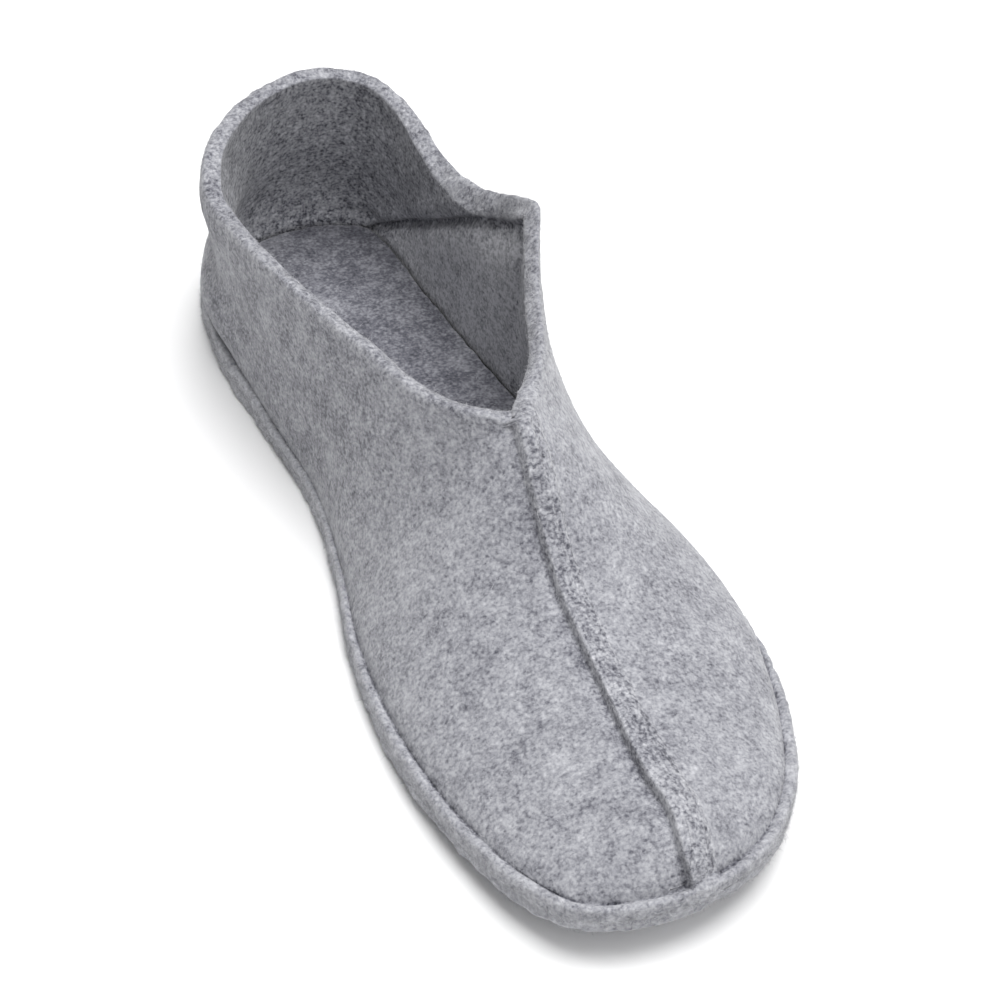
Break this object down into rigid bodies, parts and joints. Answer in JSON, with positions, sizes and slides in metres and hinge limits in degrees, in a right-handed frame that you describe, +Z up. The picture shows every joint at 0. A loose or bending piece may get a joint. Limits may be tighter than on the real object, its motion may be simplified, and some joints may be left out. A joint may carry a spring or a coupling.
{
  "type": "house slipper",
  "caption": "Felt house slipper for the left foot: soft hollow upper with a raised middle seam, V-shaped throat and tall heel on a flat felt sole, with a leather pull loop.",
  "frame": {"origin": "middle of the shoe's box, on the floor under the sole", "axes": "+Z up, +Y towards the heel, -Y towards the toe, +X towards the outer side of the left foot"},
  "size_m": [0.1066, 0.292, 0.071],
  "materials": {
    "sole_felt": "dense grey wool felt, matt, with fuzzy cut edges",
    "upper_felt": "thick light grey mottled wool felt, matt and slightly hairy",
    "insole_felt": "grey mottled wool felt, flattened by wear",
    "loop_leather": "plain dark grey leather strip with paler cut edges"
  },
  "bodies": {
    "root": {"sole": "sole_felt", "upper": "upper_felt", "insole": "insole_felt", "pull_loop": "loop_leather"}
  },
  "joints": []
}
